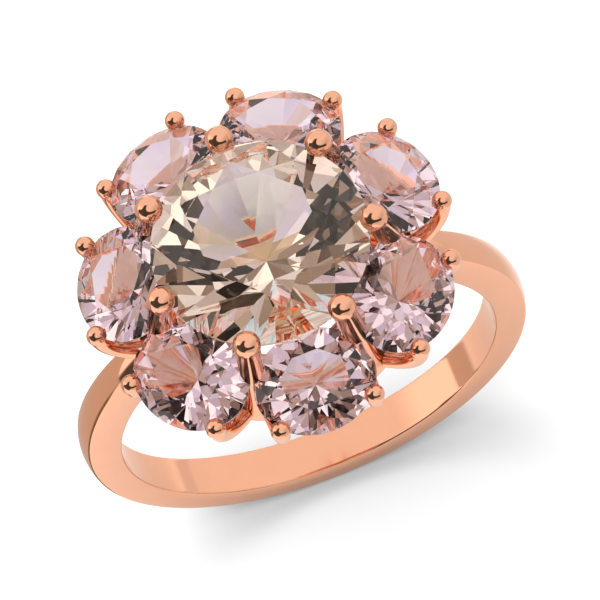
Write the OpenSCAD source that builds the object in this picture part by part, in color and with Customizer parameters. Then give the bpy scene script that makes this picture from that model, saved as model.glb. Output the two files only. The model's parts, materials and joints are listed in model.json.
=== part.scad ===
// Cocktail ring: a round centre stone inside seven oval petal stones, on a tapered band.
// Millimetres. The origin is the centre of the finger bore, the bore runs along Y and the
// head stands up along +Z. One prong stands exactly at +Y, and one petal lies exactly at -Y.

/* [Band] */
// Inside diameter of the band, which is the finger bore
bore_d = 16.8; // [16.0:0.1:17.6]
// Diameter of the band's outside, measured along its side edges
outer_d = 19.54; // [19.2:0.02:19.8]
// How far the outside circle sits above the bore, which thickens the shoulders
outer_lift = 0.29; // [0.2:0.01:0.35]
// Height of the outside's dome above its side edges
dome_h = 0.17; // [0.05:0.01:0.25]
// Width of the band at its lowest point
bottom_w = 1.94; // [1.7:0.02:2.2]
// Width of the band at the seat under the head
top_w = 1.36; // [1.2:0.02:1.6]
// Height of the flat seat that is filed on the top of the band
seat_z = 9.3; // [9.2:0.05:9.5]
// Bevel along the two inner edges of the band
bore_bevel = 0.1; // [0.05:0.01:0.15]

/* [Gallery] */
// Mean diameter of the base ring that stands on the band's seat
base_ring_d = 7.4; // [7.0:0.1:7.6]
// Mean diameter of the gallery rail that carries the prongs
rail_d = 11.1; // [11.0:0.05:11.2]
// Width of the base ring
base_ring_w = 0.8; // [0.7:0.05:0.9]
// Width of the gallery rail
rail_w = 1.0; // [0.9:0.05:1.05]
// Height of the base ring
base_ring_h = 0.55; // [0.5:0.05:0.6]
// Height of the gallery rail
rail_h = 0.75; // [0.7:0.05:0.8]
// Height of the gallery rail's flat top
rail_top_z = 9.9; // [9.85:0.01:9.92]

/* [Prongs] */
// Diameter of the wire that holds the centre stone
centre_wire_d = 1.04; // [0.9:0.02:1.08]
// Diameter of the ball that ends each centre prong
centre_bead_d = 1.16; // [1.1:0.02:1.2]
// Distance of those balls from the head's axis
centre_bead_r = 4.74; // [4.7:0.01:4.8]
// Height of those balls
centre_bead_z = 14.09; // [14.0:0.01:14.2]
// Diameter of the wire that holds the petals
petal_wire_d = 0.68; // [0.64:0.02:0.72]
// Diameter of the ball that ends each petal prong
petal_bead_d = 0.84; // [0.8:0.02:0.9]
// Distance of those balls from the head's axis
petal_bead_r = 7.56; // [7.5:0.01:7.6]
// Height of those balls
petal_bead_z = 11.7; // [11.65:0.01:11.75]
// Angle from a centre prong to the petal prong on either side of it
petal_prong_turn = 10.1; // [9.6:0.1:10.6]
// Radius of the curve by which a petal prong turns upright
petal_wire_bend = 1.85; // [1.8:0.01:1.9]
// How far a petal prong reaches outwards from its root in the rail
petal_wire_reach = 1.7; // [1.65:0.01:1.75]

/* [Stones] */
// Diameter of the centre stone
centre_stone_d = 9.0; // [8.9:0.05:9.1]
// Height of the centre stone's girdle
centre_girdle_z = 13.49; // [13.45:0.01:13.6]
// Length of a petal stone, around the head
petal_l = 5.08; // [5.0:0.02:5.1]
// Width of a petal stone, outwards from the head
petal_w = 4.28; // [4.2:0.02:4.3]
// Distance of a petal stone's middle from the head's axis
petal_r = 5.84; // [5.8:0.01:5.9]
// Height of a petal stone's girdle at its middle
petal_girdle_z = 11.8; // [11.75:0.01:11.85]
// Outward lean of the petal stones in degrees
petal_lean = 16.3; // [15:0.1:17]
// Width of a stone's table as a share of its width
table_share = 0.57; // [0.53:0.01:0.6]
// Thickness of a stone's girdle as a share of its width
girdle_share = 0.03; // [0.02:0.005:0.04]
// Slope of the main crown facets in degrees
crown_slope = 33; // [31:0.5:35]
// Slope of the main pavilion facets in degrees
pavilion_slope = 41; // [40:0.5:42]

/* [Hidden] */
PETALS = 7;
PETAL_PRONGS = 2 * PETALS;
FACETS = 8; // main facets round a stone, above and below its girdle
GOLD = [0.93, 0.68, 0.56];
PEACH = [0.95, 0.84, 0.74];
LILAC = [0.88, 0.74, 0.82];

bore_r = bore_d / 2;
pitch = 360 / PETALS;
first_prong_angle = 90;
bottom_z = outer_lift - outer_d / 2 - dome_h;
// The band's side faces lean inwards as they rise, at this rate
side_taper = (bottom_w - top_w) / 2 / (seat_z - bottom_z);
mid_half_w = bottom_w / 2 + side_taper * bottom_z;
// Radius of the arc that domes the outside
dome_arc_r = (pow(bottom_w / 2, 2) + dome_h * dome_h) / (2 * dome_h);

base_ring_inner_r = (base_ring_d - base_ring_w) / 2;
base_ring_outer_r = (base_ring_d + base_ring_w) / 2;
rail_inner_r = (rail_d - rail_w) / 2;
rail_outer_r = (rail_d + rail_w) / 2;
rail_bottom_z = rail_top_z - rail_h;
base_ring_top_z = seat_z + base_ring_h;
arm_w = 0.7;
arm_h = base_ring_h - 0.1; // the arms are a little lower than the base ring
solder = 0.02; // depth to which soldered pieces run into each other
arm_root = 0.1; // depth to which the arms run into the base ring
centre_foot_r = rail_d / 2 - 0.02; // the prongs stand in the middle of the rail

// Where a petal prong ends, seen from the centre prong beside it
petal_bead_x = petal_bead_r * cos(petal_prong_turn);
petal_bead_y = petal_bead_r * sin(petal_prong_turn);
petal_wire_splay = 26.7; // angle between a petal prong and the outward line
petal_wire_turn = acos(1 - petal_wire_reach / petal_wire_bend);
petal_tip_h = 0.15; // the straight end of the wire, up to the middle of its ball
petal_tip_d = petal_wire_d - 0.02; // this end is drawn down a hair

seat_gap = 0.01; // clearance between a stone and the seat cut in its prongs
star_slope = 21;
upper_girdle_slope = 40;
lower_girdle_slope = 42.3;
$fn = 96;

function prong_angle(k) = first_prong_angle + pitch * (k - 1);
function petal_angle(k) = prong_angle(k) + pitch / 2;

// A round rod between two points of the XZ plane
module rod(from, to, d) {
    run = to - from;
    translate([from[0], 0, from[1]])
        rotate([0, atan2(run[0], run[1]), 0])
            cylinder(d = d, h = norm(run));
}

// A flat ring with a square section, between two heights
module flat_ring(inner_r, outer_r, low, high)
    rotate_extrude()
        translate([inner_r, low]) square([outer_r - inner_r, high - low]);

// A many-sided cone whose facets slope down to `reach` at z = 0 and carry on as far below it
module facet_cone(sides, turn, reach, slope) {
    below = reach;
    foot = reach + below / tan(slope);
    rotate([0, 0, turn]) translate([0, 0, -below])
        cylinder(r1 = foot / cos(180 / sides), r2 = 0, h = foot * tan(slope), $fn = sides);
}

// A brilliant cut, with its girdle's middle at z = 0 and its length along X
module brilliant(length, width) {
    r = width / 2;
    half_girdle = girdle_share * width / 2;
    half_turn = 180 / FACETS;
    table_z = half_girdle + r * (1 - table_share) * tan(crown_slope);
    table_edge = table_share * r;
    star_reach = table_edge * cos(half_turn) + table_z / tan(star_slope);
    hull() scale([length / width, 1, 1]) intersection() {
        cylinder(r = r, h = 3 * width, center = true, $fn = 64);
        translate([-width, -width, -width]) cube([2 * width, 2 * width, width + table_z]);
        translate([0, 0, half_girdle]) facet_cone(FACETS, half_turn, r, crown_slope);
        facet_cone(FACETS, 0, star_reach, star_slope);
        translate([0, 0, half_girdle])
            facet_cone(2 * FACETS, 0, r * cos(half_turn / 2), upper_girdle_slope);
        mirror([0, 0, 1]) translate([0, 0, half_girdle]) {
            intersection() {
                facet_cone(FACETS, half_turn, r, pavilion_slope);
                facet_cone(2 * FACETS, 0, r * cos(half_turn / 2), lower_girdle_slope);
            }
        }
    }
}

// The smooth space that a stone fills, which is cut out of the prongs that hold it
module seat(length, width) {
    half_girdle = girdle_share * width / 2;
    depth = width / 2 * tan(lower_girdle_slope) + half_girdle;
    rise = width / 2 * (1 - table_share) * tan(upper_girdle_slope) + half_girdle;
    hull() scale([length / width, 1, 1]) {
        cylinder(r = width / 2 + seat_gap, h = 2 * half_girdle, center = true, $fn = 64);
        cylinder(r = table_share * width / 2, h = rise, $fn = 16);
        translate([0, 0, -depth]) cylinder(r = 0.1, h = depth, $fn = 16);
    }
}

// Puts a child drawn at the origin where petal k lies, its length around the head
module at_petal(k)
    rotate([0, 0, petal_angle(k)])
        translate([petal_r, 0, petal_girdle_z]) rotate([0, petal_lean, 0])
            rotate([0, 0, 90]) children();

module band_section()
    intersection() {
        translate([0, -bottom_w]) square([outer_d, 2 * bottom_w]);
        translate([outer_d / 2 + dome_h - dome_arc_r, 0]) circle(r = dome_arc_r);
    }

// The space between the band's two side faces, up to the seat
module band_sides()
    rotate([90, 0, 90]) linear_extrude(2 * outer_d, center = true)
        polygon([
            for (side = [-1, 1], z = side > 0 ? [bottom_z - 1, seat_z] : [seat_z, bottom_z - 1])
                [side * (mid_half_w - side_taper * z), z]
        ]);

module shank() color(GOLD)
    difference() {
        intersection() {
            translate([0, 0, outer_lift]) rotate([90, 0, 0]) rotate_extrude() band_section();
            band_sides();
        }
        rotate([90, 0, 0]) cylinder(r = bore_r, h = outer_d, center = true);
        for (side = [0, 1]) mirror([0, side, 0])
            translate([0, mid_half_w, 0]) rotate([atan(side_taper) - 90, 0, 0])
                translate([0, 0, -1])
                    cylinder(r1 = bore_r + bore_bevel - 1, r2 = bore_r + bore_bevel + 1, h = 2);
    }

module base_ring() color(GOLD) {
    flat_ring(base_ring_inner_r, base_ring_outer_r, seat_z, base_ring_top_z);
    for (k = [1:PETALS]) rotate([0, 0, prong_angle(k)])
        translate([base_ring_outer_r - arm_root, -arm_w / 2, seat_z + (base_ring_h - arm_h) / 2])
            cube([rail_inner_r + solder - base_ring_outer_r + arm_root, arm_w, arm_h]);
}

module gallery_rail() color(GOLD)
    flat_ring(rail_inner_r, rail_outer_r, rail_bottom_z, rail_top_z);

module centre_prong(k) color(GOLD)
    difference() {
        rotate([0, 0, prong_angle(k)]) {
            lean = (centre_foot_r - centre_bead_r) / (centre_bead_z - rail_top_z);
            difference() {
                rod([centre_foot_r + lean * rail_h, rail_bottom_z], [centre_bead_r, centre_bead_z],
                    centre_wire_d);
                translate([0, -centre_wire_d, rail_bottom_z - rail_h])
                    cube([2 * rail_outer_r, 2 * centre_wire_d, 2 * rail_h - solder]);
            }
            translate([centre_bead_r, 0, centre_bead_z]) sphere(d = centre_bead_d);
        }
        translate([0, 0, centre_girdle_z]) seat(centre_stone_d, centre_stone_d);
        at_petal(k) seat(petal_l, petal_w);
        at_petal(k - 1) seat(petal_l, petal_w);
    }

// Prongs 2k - 1 and 2k spring from the rail on either side of centre prong k
module petal_prong(n) color(GOLD) {
    k = ceil(n / 2);
    side = n % 2 == 0 ? 1 : -1;
    difference() {
        rotate([0, 0, prong_angle(k)]) translate([petal_bead_x, side * petal_bead_y, 0]) {
            rotate([0, 0, side * petal_wire_splay])
                translate([-petal_wire_bend, 0, petal_bead_z - petal_tip_h])
                    rotate([90, 0, 0]) rotate([0, 0, -petal_wire_turn])
                        rotate_extrude(angle = petal_wire_turn)
                            translate([petal_wire_bend, 0]) circle(d = petal_wire_d);
            translate([0, 0, petal_bead_z - petal_tip_h - solder])
                cylinder(d = petal_tip_d, h = petal_tip_h);
            translate([0, 0, petal_bead_z]) sphere(d = petal_bead_d);
        }
        at_petal(side > 0 ? k : k - 1) seat(petal_l, petal_w);
    }
}

module centre_stone() color(PEACH)
    translate([0, 0, centre_girdle_z]) brilliant(centre_stone_d, centre_stone_d);

module petal_stone(k) color(LILAC) at_petal(k) brilliant(petal_l, petal_w);

shank();
base_ring();
gallery_rail();
centre_stone();
for (k = [1:PETALS]) {
    petal_stone(k);
    centre_prong(k);
}
for (n = [1:PETAL_PRONGS])
    petal_prong(n);
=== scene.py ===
"""Cocktail ring in polished rose gold: a round peach stone inside seven oval lilac ones.

Places and sizes are those of the CAD frame. Each piece is modelled again here, finely, in
the place of its CAD node: the metal with its small bevels, the stones with true flat facets.
"""
import json
from math import acos, asin, atan2, cos, hypot, pi, radians, sin, sqrt, tan

import bmesh
import bpy
from mathutils import Matrix, Vector


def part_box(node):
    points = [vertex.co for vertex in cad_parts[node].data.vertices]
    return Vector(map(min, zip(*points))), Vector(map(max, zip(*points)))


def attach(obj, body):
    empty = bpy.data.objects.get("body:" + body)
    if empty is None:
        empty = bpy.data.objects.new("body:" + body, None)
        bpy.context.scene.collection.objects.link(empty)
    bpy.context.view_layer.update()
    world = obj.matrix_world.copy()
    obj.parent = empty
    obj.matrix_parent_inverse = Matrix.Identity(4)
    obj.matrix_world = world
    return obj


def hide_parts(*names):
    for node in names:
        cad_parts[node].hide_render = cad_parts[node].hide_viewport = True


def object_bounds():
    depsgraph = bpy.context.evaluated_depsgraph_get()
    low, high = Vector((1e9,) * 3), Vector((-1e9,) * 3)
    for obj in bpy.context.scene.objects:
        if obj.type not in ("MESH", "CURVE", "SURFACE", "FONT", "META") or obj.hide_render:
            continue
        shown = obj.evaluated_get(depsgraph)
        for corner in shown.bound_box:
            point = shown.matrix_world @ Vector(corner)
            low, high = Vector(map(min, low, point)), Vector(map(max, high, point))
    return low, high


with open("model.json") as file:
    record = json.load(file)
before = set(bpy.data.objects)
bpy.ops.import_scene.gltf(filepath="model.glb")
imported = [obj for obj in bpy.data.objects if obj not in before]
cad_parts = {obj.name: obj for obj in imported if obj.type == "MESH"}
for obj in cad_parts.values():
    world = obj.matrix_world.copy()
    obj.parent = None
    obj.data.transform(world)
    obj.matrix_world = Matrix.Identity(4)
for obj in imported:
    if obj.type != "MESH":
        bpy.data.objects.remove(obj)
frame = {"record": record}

cad_low, cad_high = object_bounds()

# ---------------------------------------------------------------- sizes, in metres
MM = 0.001
PETALS = 7
PITCH = 2 * pi / PETALS
FIRST_PRONG = pi / 2

bore = frame["record"]["mounts"][0]["dims"]["r_mm"] * MM
base_low, base_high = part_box("base_ring")
rail_low, rail_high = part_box("gallery_rail")
seat_z = base_low.z
rail_top = rail_high.z

OUTER_R = 9.77 * MM  # of the band's outside, along its side edges
OUTER_LIFT = 0.29 * MM  # of the outside's centre above the bore's
DOME = 0.17 * MM  # height of the outside's arch across the band
BOTTOM_WIDTH = 1.94 * MM
TOP_WIDTH = 1.36 * MM
BAND_BEVEL = 0.07 * MM
SEAT_EDGE = 0.3 * MM  # the band's edges stay sharp this far below its seat

BASE_R = 4.1 * MM  # outer radius of the base ring, without its arms
BASE_WIDTH = 0.8 * MM
BASE_BEVEL = 0.08 * MM
RAIL_WIDTH = 1.0 * MM
RAIL_BEVEL = 0.12 * MM
ARM_WIDTH = 0.7 * MM
ARM_BEVEL = 0.1 * MM
ARM_LOWER = 0.1 * MM  # how much lower an arm is than the base ring
ARM_IN_BASE = 0.12 * MM  # depth to which an arm runs into the base ring
SOLDER = 0.02 * MM  # depth to which soldered pieces run into each other

# Radii of the wires and of the balls that end them
CENTRE_WIRE = 0.52 * MM
CENTRE_BEAD = 0.58 * MM
CENTRE_FOOT_R = rail_high.x - RAIL_WIDTH / 2 - 0.02 * MM  # a hair inside the rail's middle
CENTRE_BEAD_R = 4.74 * MM
CENTRE_BEAD_Z = 14.09 * MM
# A centre wire's foot and its flare: height above the rail and radius
CENTRE_FOOT = 0.56 * MM
CENTRE_FLARE = [(0.10 * MM, 0.545 * MM), (0.17 * MM, 0.53 * MM), (0.27 * MM, 0.523 * MM),
                (0.40 * MM, CENTRE_WIRE)]
PETAL_WIRE = 0.34 * MM
PETAL_BEAD = 0.42 * MM
PETAL_ROOT_SWELL = 0.1  # how much thicker a petal wire is at its root
PETAL_BEAD_R = 7.56 * MM
PETAL_BEAD_Z = 11.7 * MM
PETAL_PRONG_TURN = radians(10.1)
PETAL_WIRE_SPLAY = radians(26.7)
PETAL_WIRE_BEND = 1.85 * MM
PETAL_WIRE_REACH = 1.7 * MM
PETAL_TIP = 0.15 * MM

# Diameter of the centre stone, length and width of a petal
CENTRE_STONE = 9.0 * MM
CENTRE_GIRDLE_Z = 13.49 * MM
PETAL_LENGTH = 5.08 * MM
PETAL_WIDTH = 4.28 * MM
PETAL_R = 5.84 * MM
PETAL_GIRDLE_Z = 11.8 * MM
PETAL_LEAN = radians(16.3)


def prong_angle(k):
    return FIRST_PRONG + PITCH * (k - 1)


def petal_place(k):
    """Where petal k lies: its length along X becomes the way round the head."""
    return (Matrix.Rotation(prong_angle(k) + PITCH / 2, 4, "Z")
            @ Matrix.Translation((PETAL_R, 0, PETAL_GIRDLE_Z))
            @ Matrix.Rotation(PETAL_LEAN, 4, "Y")
            @ Matrix.Rotation(pi / 2, 4, "Z"))


# ---------------------------------------------------------------- camera
VIEW_AZIMUTH = radians(-3.64)
VIEW_ELEVATION = radians(65.31)
VIEW_ROLL = radians(18.09)
VIEW_TARGET = Vector((0.87, 0.89, 5.0)) * MM
VIEW_DISTANCE = 289.9 * MM

forward = Vector((-sin(VIEW_AZIMUTH) * cos(VIEW_ELEVATION),
                  cos(VIEW_AZIMUTH) * cos(VIEW_ELEVATION),
                  -sin(VIEW_ELEVATION)))
level = forward.cross(Vector((0, 0, 1))).normalized()
right = cos(VIEW_ROLL) * level + sin(VIEW_ROLL) * forward.cross(level)
down = forward.cross(right)


def make_camera():
    data = bpy.data.cameras.new("camera")
    data.sensor_width = 36
    data.lens = 417.6
    data.clip_start = 0.01
    camera = bpy.data.objects.new("camera", data)
    turn = Matrix((right, -down, -forward)).transposed().to_4x4()
    camera.matrix_world = Matrix.Translation(VIEW_TARGET - VIEW_DISTANCE * forward) @ turn
    bpy.context.scene.collection.objects.link(camera)
    bpy.context.scene.camera = camera


make_camera()


# ---------------------------------------------------------------- shader expressions
class Wire:
    """An output socket on which + - * and abs make Math nodes."""

    def __init__(self, tree, socket):
        self.tree = tree
        self.socket = socket

    def maths(self, operation, *values):
        return self.tree.node("ShaderNodeMath", {"operation": operation}, dict(enumerate(values)))

    def __add__(self, other):
        return self.maths("ADD", self, other)

    def __sub__(self, other):
        return self.maths("SUBTRACT", self, other)

    def __rsub__(self, other):
        return self.maths("SUBTRACT", other, self)

    def __mul__(self, other):
        return self.maths("MULTIPLY", self, other)

    def __abs__(self):
        return self.maths("ABSOLUTE", self)

    __radd__ = __add__
    __rmul__ = __mul__


class Tree:
    """A node tree in which every node is made by one call."""

    def __init__(self, owner):
        owner.use_nodes = True
        self.nodes = owner.node_tree.nodes
        self.links = owner.node_tree.links
        self.nodes.clear()

    def node(self, kind, settings=None, inputs=None, output=0):
        made = self.nodes.new(kind)
        for name, value in (settings or {}).items():
            if name == "stops":
                self.set_stops(made.color_ramp, value)
            else:
                setattr(made, name, value)
        for name, value in (inputs or {}).items():
            if isinstance(value, Wire):
                self.links.new(value.socket, made.inputs[name])
            else:
                made.inputs[name].default_value = value
        return Wire(self, made.outputs[output]) if made.outputs else made

    def set_stops(self, ramp, stops):
        while len(ramp.elements) < len(stops):
            ramp.elements.new(0.5)
        for element, (place, colour) in zip(ramp.elements, stops):
            element.position = place
            element.color = (*colour, 1)

    def mix(self, share, first, second):
        return self.node("ShaderNodeMix", {"data_type": "RGBA"}, {0: share, 6: first, 7: second}, 2)

    def noise(self, scale, detail, where):
        return self.node("ShaderNodeTexNoise", None,
                         {"Vector": where, "Scale": scale, "Detail": detail})

    def between(self, value, low, high, start=0.0, end=1.0):
        """The value's way from low to high as a smooth step from start to end."""
        return self.node("ShaderNodeMapRange", {"interpolation_type": "SMOOTHSTEP"},
                         {0: value, 1: low, 2: high, 3: start, 4: end})


def colour(r, g, b):
    return (r, g, b, 1)


def rose_gold():
    """Polished rose gold: a mirror with a faint haze and the fine swirls of a polishing cloth."""
    material = bpy.data.materials.new("rose_gold")
    t = Tree(material)
    where = t.node("ShaderNodeTexCoord", output=3)
    haze = t.noise(900, 3, where)
    swirls = t.noise(9000, 4, t.node("ShaderNodeMapping", None,
                                      {"Vector": where, "Scale": (1, 1, 0.15)}))
    tint = t.mix(haze, colour(0.91, 0.47, 0.305), colour(0.95, 0.51, 0.34))
    bump = t.node("ShaderNodeBump", None,
                  {"Strength": 0.06, "Distance": 0.00001, "Height": swirls})
    metal = t.node("ShaderNodeBsdfPrincipled", None, {
        "Base Color": tint,
        "Metallic": 1.0,
        "Roughness": 0.05 + 0.07 * haze,
        "Normal": bump,
    })
    t.node("ShaderNodeOutputMaterial", None, {"Surface": metal})
    return material


def gem(name, tint, deep, depth_colour, density, index):
    """A clear stone that bends light. Its colour deepens with the way that light takes in it."""
    material = bpy.data.materials.new(name)
    t = Tree(material)
    where = t.node("ShaderNodeTexCoord", output=3)
    zoning = t.between(t.noise(260, 2, where), 0.35, 0.65)
    stone = t.node("ShaderNodeBsdfPrincipled", None, {
        "Base Color": t.mix(zoning, tint, deep),
        "Roughness": 0.0,
        "IOR": index,
        "Transmission Weight": 1.0,
    })
    body = t.node("ShaderNodeVolumeAbsorption", None,
                  {"Color": depth_colour, "Density": density})
    t.node("ShaderNodeOutputMaterial", None, {"Surface": stone, "Volume": body})
    return material


# Painted reflection shade on the floor, seen only in the metal: where a grey card would stand, in a
# dark gap beside it and on the far floor; each fades in along X and Y
PAINTED_CARD_X = (-6 * MM, -9 * MM)
PAINTED_CARD_Y = (-0.5 * MM, 2.5 * MM)
PAINTED_GAP_X = (-10 * MM, -11.2 * MM)
PAINTED_GAP_BACK = (2.6 * MM, 1.2 * MM)
PAINTED_GAP_FRONT = (-4 * MM, -2.5 * MM)
PAINTED_FAR_X = (12 * MM, 24 * MM)

# Painted light seen through the stones: what a stone shows of the floor through its back is painted
# tan, grey and lilac
PAINTED_FLOOR_IN_STONES = [(0.36, (0.42, 0.29, 0.21)), (0.46, (0.52, 0.45, 0.39)),
                   (0.55, (0.50, 0.45, 0.55)), (0.66, (0.62, 0.60, 0.62))]


def floor_paper():
    """White paper. Only the metal's mirror rays see it painted darker: a painted grey-card
    reflection on the left, a near-black gap beside it and a dimmer far right. Rays through the
    stones see it painted tan, grey and lilac.
    """
    material = bpy.data.materials.new("floor_paper")
    t = Tree(material)
    where = t.node("ShaderNodeTexCoord", output=3)
    grain = t.noise(400, 2, where)
    white = t.mix(grain, colour(0.88, 0.88, 0.88), colour(0.9, 0.9, 0.9))
    to_side = t.node("ShaderNodeSeparateXYZ", None, {0: where})
    to_back = t.node("ShaderNodeSeparateXYZ", None, {0: where}, 1)
    # Painted reflection shade: masks where the metal's mirror sees the floor darker
    painted_card_shade = t.between(to_side, *PAINTED_CARD_X) * t.between(to_back, *PAINTED_CARD_Y)
    painted_gap_shade = (t.between(to_side, *PAINTED_GAP_X) * t.between(to_back, *PAINTED_GAP_BACK)
           * t.between(to_back, *PAINTED_GAP_FRONT))
    painted_far_shade = t.between(to_side, *PAINTED_FAR_X)
    # Painted reflection: the floor's colour for mirror rays, grey, dimmer far right, darker in the
    # card's patch, near black in the gap
    mirrored = t.mix(painted_far_shade, colour(0.72, 0.69, 0.66), colour(0.50, 0.48, 0.46))
    mirrored = t.mix(painted_card_shade, mirrored, colour(0.39, 0.34, 0.29))
    mirrored = t.mix(painted_gap_shade, mirrored, colour(0.12, 0.08, 0.05))
    # Painted light: the tan, grey and lilac that only rays through the stones see on the floor
    painted_through_stones = t.node("ShaderNodeValToRGB", {"stops": PAINTED_FLOOR_IN_STONES}, {0: t.noise(130, 0, where)})
    in_metal = t.node("ShaderNodeLightPath", output="Is Glossy Ray")
    in_stone = t.node("ShaderNodeLightPath", output="Is Transmission Ray")
    # Base colour: white paper to camera and diffuse rays, painted reflection shade to mirror rays,
    # painted tan, grey and lilac to rays through the stones
    paper = t.node("ShaderNodeBsdfPrincipled", None, {
        "Base Color": t.mix(in_stone, t.mix(in_metal, white, mirrored), painted_through_stones),
        "Roughness": 0.9,
        "Specular IOR Level": 0.1,
    })
    t.node("ShaderNodeOutputMaterial", None, {"Surface": paper})
    return material


GOLD = rose_gold()
PEACH = gem("peach_stone", colour(1.0, 0.92, 0.84), colour(0.99, 0.90, 0.80),
            colour(1.0, 0.82, 0.68), 35.0, 1.58)
LILAC = gem("lilac_stone", colour(1.0, 0.89, 0.93), colour(0.99, 0.86, 0.92),
            colour(0.97, 0.74, 0.84), 70.0, 1.57)


# ---------------------------------------------------------------- mesh helpers
SHARP = radians(35)  # an edge that turns by more than this is an edge, not a curve


def verts_of(made):
    return [g for g in made if isinstance(g, bmesh.types.BMVert)]


def edges_of(made):
    return [g for g in made if isinstance(g, bmesh.types.BMEdge)]


def mesh_of(name, bm):
    mesh = bpy.data.meshes.new(name)
    bm.to_mesh(mesh)
    bm.free()
    return mesh


def place_object(name, data):
    made = bpy.data.objects.new(name, data)
    bpy.context.scene.collection.objects.link(made)
    return made


def finish_piece(name, bm, material, node, faceted=False):
    """Makes a piece of the shape, shown in place of its CAD node."""
    bmesh.ops.recalc_face_normals(bm, faces=bm.faces)
    add_piece(name, mesh_of(name, bm), material, node, faceted)


def add_piece(name, mesh, material, node, faceted=False):
    mesh.polygons.foreach_set("use_smooth", [not faceted] * len(mesh.polygons))
    if not faceted:
        mesh.set_sharp_from_angle(angle=SHARP)
    mesh.materials.clear()
    mesh.materials.append(material)
    piece = place_object(name, mesh)
    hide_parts(node)
    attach(piece, "root")


def bevel_sharp(bm, size, segments=3, keep=lambda edge: True):
    """Rounds the sharp edges that keep says yes to."""
    sharp = [e for e in bm.edges
             if len(e.link_faces) == 2 and e.calc_face_angle() > SHARP and keep(e)]
    bmesh.ops.bevel(bm, geom=sharp, offset=size, offset_type="OFFSET", segments=segments,
                    profile=0.5, affect="EDGES", clamp_overlap=True, material=-1)


def tube(frames, sides=32):
    """A closed skin through rings, each a unit circle put in place by its frame."""
    bm = bmesh.new()
    ring = bmesh.ops.create_circle(bm, segments=sides, radius=1, cap_ends=True,
                                   matrix=frames[0])["verts"]
    edges = list({e for v in ring for e in v.link_edges})
    for before, after in zip(frames, frames[1:]):
        made = bmesh.ops.extrude_edge_only(bm, edges=edges)["geom"]
        edges = edges_of(made)
        bmesh.ops.transform(bm, matrix=after @ before.inverted(), verts=verts_of(made))
    bmesh.ops.contextual_create(bm, geom=edges)
    bmesh.ops.remove_doubles(bm, verts=bm.verts, dist=0.0002 * MM)
    return bm


def ring_frame(place, radius):
    return place @ Matrix.Diagonal((radius, radius, radius, 1))


def ball_frames(place, radius, neck, steps=18):
    """Rings over a ball that stands on a wire of radius neck; place's Z is the wire's way."""
    start = pi - asin(neck / radius)
    near_pole = 0.01
    angles = [start * (1 - i / steps) for i in range(steps)] + [near_pole]
    return [ring_frame(place @ Matrix.Translation((0, 0, radius * cos(a))), radius * sin(a))
            for a in angles]


def lathe(points, steps=160):
    """A closed ring with the section (radius, height), turned about Z."""
    bm = bmesh.new()
    verts = [bm.verts.new((r, 0, z)) for r, z in points]
    edges = [bm.edges.new((a, b)) for a, b in zip(verts, verts[1:] + verts[:1])]
    bmesh.ops.spin(bm, geom=verts + edges, cent=(0, 0, 0), axis=(0, 0, 1), dvec=(0, 0, 0),
                   angle=2 * pi, steps=steps, use_merge=True, use_duplicate=False)
    bmesh.ops.recalc_face_normals(bm, faces=bm.faces)
    return bm


# ---------------------------------------------------------------- stones
FACETS = 8
TABLE_SHARE = 0.57
GIRDLE_SHARE = 0.03
CROWN_SLOPE = radians(33)
STAR_SLOPE = radians(21)
UPPER_GIRDLE_SLOPE = radians(40)
PAVILION_SLOPE = radians(41)
LOWER_GIRDLE_SLOPE = radians(42.3)


def cut_facet(bm, reach, height, slope, turn, side):
    """Cuts one facet: it passes `reach` from the axis at `height`, and leans in by slope."""
    normal = Vector((cos(turn) * sin(slope), sin(turn) * sin(slope), side * cos(slope)))
    made = bmesh.ops.bisect_plane(
        bm, geom=bm.verts[:] + bm.edges[:] + bm.faces[:], dist=1e-8,
        plane_co=(reach * cos(turn), reach * sin(turn), side * height),
        plane_no=normal, clear_outer=True)
    bmesh.ops.contextual_create(bm, geom=edges_of(made["geom_cut"]))


def facet_ring(bm, count, first, reach, height, slope, side):
    for i in range(count):
        cut_facet(bm, reach, height, slope, first + 2 * pi * i / count, side)


def brilliant(length, width):
    """A brilliant cut with flat facets, its girdle's middle at the origin."""
    r = width / 2
    half_girdle = GIRDLE_SHARE * r
    half_turn = pi / FACETS
    table = TABLE_SHARE * r
    table_z = half_girdle + (r - table) * tan(CROWN_SLOPE)
    star_reach = table * cos(half_turn) + table_z / tan(STAR_SLOPE)
    bm = bmesh.new()
    bmesh.ops.create_cone(bm, cap_ends=True, segments=128, radius1=r, radius2=r, depth=3 * width)
    cut_facet(bm, 0, table_z, 0, 0, 1)
    facet_ring(bm, FACETS, half_turn, r, half_girdle, CROWN_SLOPE, 1)
    facet_ring(bm, FACETS, 0, star_reach, 0, STAR_SLOPE, 1)
    facet_ring(bm, 2 * FACETS, half_turn / 2, r * cos(half_turn / 2), half_girdle,
               UPPER_GIRDLE_SLOPE, 1)
    facet_ring(bm, FACETS, half_turn, r, half_girdle, PAVILION_SLOPE, -1)
    facet_ring(bm, 2 * FACETS, half_turn / 2, r * cos(half_turn / 2), half_girdle,
               LOWER_GIRDLE_SLOPE, -1)
    bmesh.ops.remove_doubles(bm, verts=bm.verts, dist=1e-7)
    bmesh.ops.scale(bm, vec=(length / width, 1, 1), verts=bm.verts)
    return bm


def set_stones():
    stone = brilliant(CENTRE_STONE, CENTRE_STONE)
    bmesh.ops.translate(stone, vec=(0, 0, CENTRE_GIRDLE_Z), verts=stone.verts)
    finish_piece("centre_brilliant", stone, PEACH, "centre_stone", faceted=True)
    for k in range(1, PETALS + 1):
        stone = brilliant(PETAL_LENGTH, PETAL_WIDTH)
        bmesh.ops.transform(stone, matrix=petal_place(k), verts=stone.verts)
        finish_piece(f"petal_brilliant_{k}", stone, LILAC, f"petal_stone_{k}",
                     faceted=True)


# ---------------------------------------------------------------- band and gallery
def half_width(z):
    bottom = OUTER_LIFT - OUTER_R - DOME
    taper = (BOTTOM_WIDTH - TOP_WIDTH) / 2 / (seat_z - bottom)
    return BOTTOM_WIDTH / 2 - taper * (z - bottom)


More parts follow.
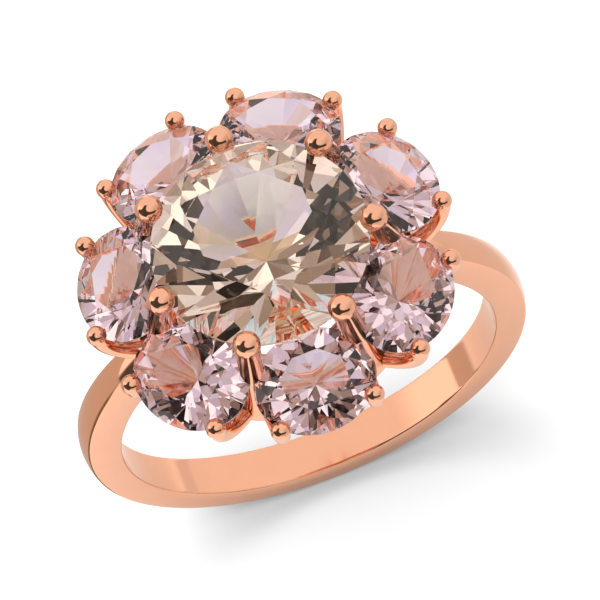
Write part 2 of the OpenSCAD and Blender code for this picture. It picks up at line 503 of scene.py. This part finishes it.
def make_shank():
    """The band: a flat-sided section with a domed outside, thicker at the shoulders."""
    strips = 12
    across = [2 * i / strips - 1 for i in range(strips + 1)]
    section = [(0, u) for u in across] + [(1, u) for u in reversed(across)]
    bm = bmesh.new()
    verts = [bm.verts.new((1 + v, u, 0)) for v, u in section]
    edges = [bm.edges.new((a, b)) for a, b in zip(verts, verts[1:] + verts[:1])]
    bmesh.ops.spin(bm, geom=verts + edges, cent=(0, 0, 0), axis=(0, 1, 0), dvec=(0, 0, 0),
                   angle=2 * pi, steps=288, use_merge=True, use_duplicate=False)
    for vert in bm.verts:
        share = hypot(vert.co.x, vert.co.z) - 1
        turn = atan2(vert.co.z, vert.co.x)
        u = vert.co.y
        outside = (OUTER_LIFT * sin(turn) + sqrt(OUTER_R ** 2 - (OUTER_LIFT * cos(turn)) ** 2)
                   + DOME * (1 - u * u))
        r = bore + share * (outside - bore)
        vert.co = (r * cos(turn), u * half_width(r * sin(turn)), r * sin(turn))
    bmesh.ops.recalc_face_normals(bm, faces=bm.faces)
    made = bmesh.ops.bisect_plane(bm, geom=bm.verts[:] + bm.edges[:] + bm.faces[:], dist=1e-8,
                                  plane_co=(0, 0, seat_z), plane_no=(0, 0, 1),
                                  clear_outer=True)
    bmesh.ops.contextual_create(bm, geom=edges_of(made["geom_cut"]))
    bevel_sharp(bm, BAND_BEVEL, keep=lambda e: e.verts[0].co.z < seat_z - SEAT_EDGE)
    finish_piece("band", bm, GOLD, "shank")


def turn_to_prong(bm, k):
    """Turns a shape that lies along +X to where centre prong k stands."""
    bmesh.ops.rotate(bm, cent=(0, 0, 0), matrix=Matrix.Rotation(prong_angle(k), 3, "Z"),
                     verts=bm.verts)


def flat_ring(outer, width, low, high, bevel):
    inner = outer - width
    bm = lathe([(inner, low), (outer, low), (outer, high), (inner, high)])
    bevel_sharp(bm, bevel)
    return bm


def make_gallery():
    rail = flat_ring(rail_high.x, RAIL_WIDTH, rail_low.z, rail_top, RAIL_BEVEL)
    finish_piece("gallery_band", rail, GOLD, "gallery_rail")
    base = flat_ring(BASE_R, BASE_WIDTH, base_low.z, base_high.z, BASE_BEVEL)
    start = BASE_R - ARM_IN_BASE
    end = rail_high.x - RAIL_WIDTH + SOLDER
    size = (end - start, ARM_WIDTH, base_high.z - base_low.z - ARM_LOWER)
    middle = ((start + end) / 2, 0, (base_high.z + base_low.z) / 2)
    for k in range(1, PETALS + 1):
        arm = bmesh.new()
        bmesh.ops.create_cube(arm, size=1)
        bmesh.ops.scale(arm, vec=size, verts=arm.verts)
        bevel_sharp(arm, ARM_BEVEL)
        bmesh.ops.translate(arm, vec=middle, verts=arm.verts)
        turn_to_prong(arm, k)
        joined = mesh_of("arm", arm)
        base.from_mesh(joined)
        bpy.data.meshes.remove(joined)
    finish_piece("base_spider", base, GOLD, "base_ring")


# ---------------------------------------------------------------- prongs
SEAT_GAP = 0.012 * MM
SLIVER = 0.0003 * MM  # faces thinner than this are merged away after a seat is filed


def seat_cutter(length, width, place):
    """The space that a stone fills, which is filed out of the prongs that hold it."""
    half_girdle = GIRDLE_SHARE * width / 2
    r = width / 2
    rise = (r - TABLE_SHARE * r) * tan(UPPER_GIRDLE_SLOPE) + half_girdle
    depth = r * tan(LOWER_GIRDLE_SLOPE) + half_girdle
    levels = [(-depth, 0.02 * r), (-half_girdle, r + SEAT_GAP), (half_girdle, r + SEAT_GAP),
              (rise, TABLE_SHARE * r)]
    bm = tube([ring_frame(Matrix.Translation((0, 0, z)), radius) for z, radius in levels], 96)
    bmesh.ops.scale(bm, vec=(length / width, 1, 1), verts=bm.verts)
    bmesh.ops.transform(bm, matrix=place, verts=bm.verts)
    bmesh.ops.recalc_face_normals(bm, faces=bm.faces)
    return place_object("seat", mesh_of("seat", bm))


def finish_prong(name, bm, node, cutters):
    """Files the stones' seats out of a prong and puts it in place of its CAD node."""
    bmesh.ops.recalc_face_normals(bm, faces=bm.faces)
    blank = place_object("blank", mesh_of(name, bm))
    for cutter in cutters:
        cut = blank.modifiers.new("seat", "BOOLEAN")
        cut.operation = "DIFFERENCE"
        cut.solver = "EXACT"
        cut.object = cutter
    graph = bpy.context.evaluated_depsgraph_get()
    filed = bpy.data.meshes.new_from_object(blank.evaluated_get(graph))
    filed.name = name
    bpy.data.objects.remove(blank)
    bm = bmesh.new()
    bm.from_mesh(filed)
    bmesh.ops.remove_doubles(bm, verts=bm.verts, dist=SLIVER)
    bmesh.ops.dissolve_degenerate(bm, dist=SLIVER, edges=bm.edges)
    bm.to_mesh(filed)
    bm.free()
    add_piece(name, filed, GOLD, node)


def centre_prong(k):
    """A straight wire on the gallery rail, flared at its foot and balled at its head."""
    foot = Vector((CENTRE_FOOT_R, 0, rail_top - SOLDER))
    bead = Vector((CENTRE_BEAD_R, 0, CENTRE_BEAD_Z))
    run = bead - foot
    lean = Matrix.Rotation(atan2(run.x, run.z), 4, "Y")
    along = Matrix.Translation(foot) @ lean
    frames = [ring_frame(Matrix.Translation(foot), CENTRE_FOOT)]
    frames += [ring_frame(along @ Matrix.Translation((0, 0, z)), r) for z, r in CENTRE_FLARE]
    frames += ball_frames(along @ Matrix.Translation((0, 0, run.length)), CENTRE_BEAD,
                          CENTRE_WIRE)
    bm = tube(frames, 40)
    turn_to_prong(bm, k)
    return bm


def petal_prong(n):
    """A claw that leaves the rail outwards, turns upright and ends in a ball."""
    k = (n + 1) // 2
    side = 1 if n % 2 == 0 else -1
    outwards = Matrix.Rotation(side * PETAL_WIRE_SPLAY, 4, "Z")
    full_turn = acos(1 - PETAL_WIRE_REACH / PETAL_WIRE_BEND)
    end = Vector((PETAL_BEAD_R * cos(PETAL_PRONG_TURN),
                  side * PETAL_BEAD_R * sin(PETAL_PRONG_TURN), 0))
    pivot = (Matrix.Translation(end) @ outwards
             @ Matrix.Translation((-PETAL_WIRE_BEND, 0, PETAL_BEAD_Z - PETAL_TIP)))
    steps = 20
    frames = []
    for i in range(steps + 1):
        left = full_turn * (1 - i / steps)
        thick = PETAL_WIRE * (1 + PETAL_ROOT_SWELL * (1 - i / steps) ** 3)
        place = (pivot @ Matrix.Rotation(left, 4, "Y")
                 @ Matrix.Translation((PETAL_WIRE_BEND, 0, 0)))
        frames.append(ring_frame(place, thick))
    bead = Matrix.Translation((end.x, end.y, PETAL_BEAD_Z)) @ outwards
    frames += ball_frames(bead, PETAL_BEAD, PETAL_WIRE)[1:]
    bm = tube(frames, 32)
    turn_to_prong(bm, k)
    return bm


def make_prongs():
    centre = seat_cutter(CENTRE_STONE, CENTRE_STONE,
                         Matrix.Translation((0, 0, CENTRE_GIRDLE_Z)))
    petals = {k: seat_cutter(PETAL_LENGTH, PETAL_WIDTH, petal_place(k))
              for k in range(1, PETALS + 1)}
    for k in range(1, PETALS + 1):
        before = (k - 2) % PETALS + 1
        finish_prong(f"centre_claw_{k}", centre_prong(k), f"centre_prong_{k}",
                     [centre, petals[k], petals[before]])
        for n, petal in ((2 * k - 1, before), (2 * k, k)):
            finish_prong(f"petal_claw_{n}", petal_prong(n), f"petal_prong_{n}",
                         [petals[petal]])
    for cutter in [centre, *petals.values()]:
        bpy.data.objects.remove(cutter)


make_shank()
make_gallery()
set_stones()
make_prongs()


# ---------------------------------------------------------------- floor and light
# What the stones show of the tent: few dark gaps, much tan and grey, some bright panels
STONE_LIGHT = [(0.34, (0.01, 0.008, 0.007)), (0.44, (0.03, 0.024, 0.02)),
               (0.48, (0.25, 0.165, 0.12)), (0.53, (0.50, 0.39, 0.32)),
               (0.60, (0.64, 0.58, 0.62)), (0.70, (1.3, 1.22, 1.12))]
PANELS = 2.6  # scale of the panels' pattern
PANELS_AT = (1.0, 0.0, 0.0)
# Light that has crossed this many faces of stones is whiter: as it comes through, and as
# the metal behind mirrors it
FACES_CROSSED = (2.2, 2.8)
FACES_MIRRORED = (1.2, 1.8)

# What the metal mirrors: a bright tent with a dark four-armed star, a brighter left side
# and a dimmer right side. A pair is the stretch over which an edge fades: for the star's
# arms of the product of the cosines to its two axes, else of the cosine to a direction.
STAR_EDGE = (0.17, 0.12)
STAR_CAP = (0.2, 0.32)
STAR_DARK = 0.93
BRIGHT_SIDE = (0.72, 0.9)
BRIGHTER = 0.35
DIM_SIDE = (0.2, 0.8)
DIMMER = 0.3


def make_floor():
    bm = bmesh.new()
    bmesh.ops.create_grid(bm, x_segments=1, y_segments=1, size=2.0)
    bmesh.ops.translate(bm, vec=(0, 0, cad_low.z), verts=bm.verts)
    mesh = mesh_of("floor", bm)
    mesh.materials.append(floor_paper())
    place_object("floor", mesh)


def make_world():
    """A light tent, drawn apart for what the metal mirrors and for what the stones let through."""
    world = bpy.data.worlds.new("tent")
    bpy.context.scene.world = world
    t = Tree(world)
    way = t.node("ShaderNodeTexCoord", output=0)

    def towards(vector):
        return t.node("ShaderNodeVectorMath", {"operation": "DOT_PRODUCT"},
                      {0: way, 1: vector.normalized()}, 1)

    def background(strength, tint=colour(1, 1, 1)):
        return t.node("ShaderNodeBackground", None, {"Color": tint, "Strength": strength})

    def choose(ray, otherwise, then):
        """Shows `then` to one kind of ray: its output on the Light Path node."""
        kind = t.node("ShaderNodeLightPath", output=ray)
        return t.node("ShaderNodeMixShader", None, {0: kind, 1: otherwise, 2: then})

    opening = (-0.62 * forward - 0.60 * right + 0.50 * down).normalized()
    along = (right - 0.12 * down - (right - 0.12 * down).dot(opening) * opening).normalized()
    upwards = opening.cross(along)
    x = towards(along)
    y = towards(upwards)
    ahead = t.between(towards(opening + 0.5 * along + 0.2 * down), *STAR_CAP)
    star = t.between(abs(x * y), *STAR_EDGE) * ahead
    side_light = t.between(towards(-right + 0.25 * down - 0.1 * forward), *BRIGHT_SIDE)
    dim = t.between(towards(right + 0.5 * down), *DIM_SIDE)
    mirrored = (1.0 + BRIGHTER * side_light - DIMMER * dim) * (1 - STAR_DARK * star)

    panels = t.node("ShaderNodeMapping", None, {"Vector": way, "Location": PANELS_AT})
    spread = t.noise(PANELS, 0, panels)
    lit = t.node("ShaderNodeValToRGB", {"stops": STONE_LIGHT}, {0: spread})
    crossed = t.node("ShaderNodeLightPath", output="Transmission Depth")
    lit = t.mix(t.between(crossed, *FACES_CROSSED), lit, colour(0.62, 0.98, 1.06))

    warmth = t.mix(t.between(crossed, *FACES_MIRRORED), colour(1, 0.94, 0.88),
                   colour(0.75, 1.0, 1.15))
    shown = choose("Is Diffuse Ray", background(mirrored, warmth), background(0.96))
    shown = choose("Is Transmission Ray", shown, background(1.0, lit))
    t.node("ShaderNodeOutputWorld", None, {"Surface": shown})


def make_key_light():
    """The light that casts the shadow. What the metal and the stones mirror is all in the tent."""
    data = bpy.data.lights.new("key", "SUN")
    data.energy = 2.25
    data.angle = radians(60)
    key = place_object("key", data)
    key.matrix_world = Vector((-0.22, 0.12, 0.95)).to_track_quat("Z", "Y").to_matrix().to_4x4()
    key.visible_glossy = False
    key.visible_transmission = False


make_floor()
make_world()
make_key_light()
scene = bpy.context.scene
scene.view_settings.view_transform = "Standard"
scene.cycles.max_bounces = 24
scene.cycles.transmission_bounces = 24
scene.cycles.glossy_bounces = 6
scene.cycles.caustics_reflective = False
scene.cycles.caustics_refractive = False
